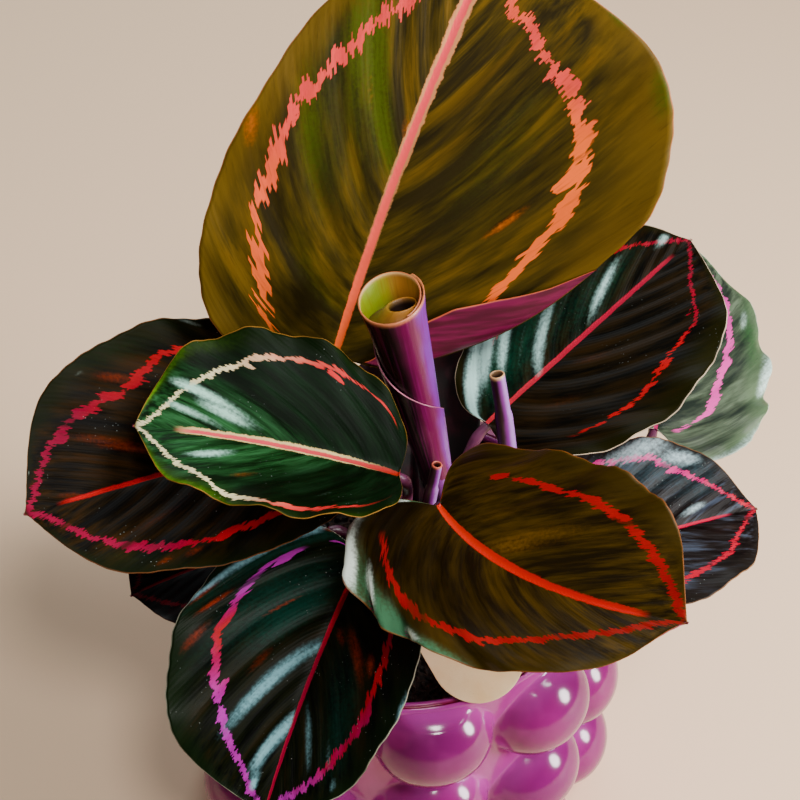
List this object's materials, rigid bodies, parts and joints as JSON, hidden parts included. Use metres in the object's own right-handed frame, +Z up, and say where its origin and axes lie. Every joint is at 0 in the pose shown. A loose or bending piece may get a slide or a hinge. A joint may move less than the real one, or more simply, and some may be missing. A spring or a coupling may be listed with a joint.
{
  "type": "potted calathea",
  "caption": "Rose-painted calathea in a cover pot with round bubble relief: broad ringed leaves on thin stalks, rolled new leaves and a blank plant label.",
  "frame": {"origin": "centre of the flat underside of the cover pot, on the surface it stands on", "axes": "+Z up out of the pot, -Y towards the front where the label rests on the lip, +X to the right"},
  "size_m": [0.2546, 0.2212, 0.3275],
  "materials": {
    "glaze": "glossy pink-purple glaze",
    "nursery_plastic": "matt black",
    "potting_mix": "rough, damp, crumbly",
    "leaf_1_blade": "satin leaf, painted ring and coloured midrib, purple underside",
    "leaf_2_blade": "satin leaf, painted ring and coloured midrib, purple underside",
    "leaf_3_blade": "satin leaf, painted ring and coloured midrib, purple underside",
    "leaf_4_blade": "satin leaf, painted ring and coloured midrib, purple underside",
    "leaf_5_blade": "satin leaf, painted ring and coloured midrib, purple underside",
    "leaf_6_blade": "satin leaf, painted ring and coloured midrib, purple underside",
    "leaf_7_blade": "satin leaf, painted ring and coloured midrib, purple underside",
    "leaf_8_blade": "satin leaf, painted ring and coloured midrib, purple underside",
    "leaf_9_blade": "satin leaf, painted ring and coloured midrib, purple underside",
    "rolled_leaf": "satin, purple underside outward",
    "label_card": "matt, unprinted"
  },
  "bodies": {
    "root": {"pot": "glaze", "grower_pot": "nursery_plastic", "soil": "potting_mix", "leaf_1": "leaf_1_blade", "leaf_2": "leaf_2_blade", "leaf_3": "leaf_3_blade", "leaf_4": "leaf_4_blade", "leaf_5": "leaf_5_blade", "leaf_6": "leaf_6_blade", "leaf_7": "leaf_7_blade", "leaf_8": "leaf_8_blade", "leaf_9": "leaf_9_blade", "spear_1": "rolled_leaf", "spear_2": "rolled_leaf", "spear_3": "rolled_leaf", "tag": "label_card"}
  },
  "joints": []
}
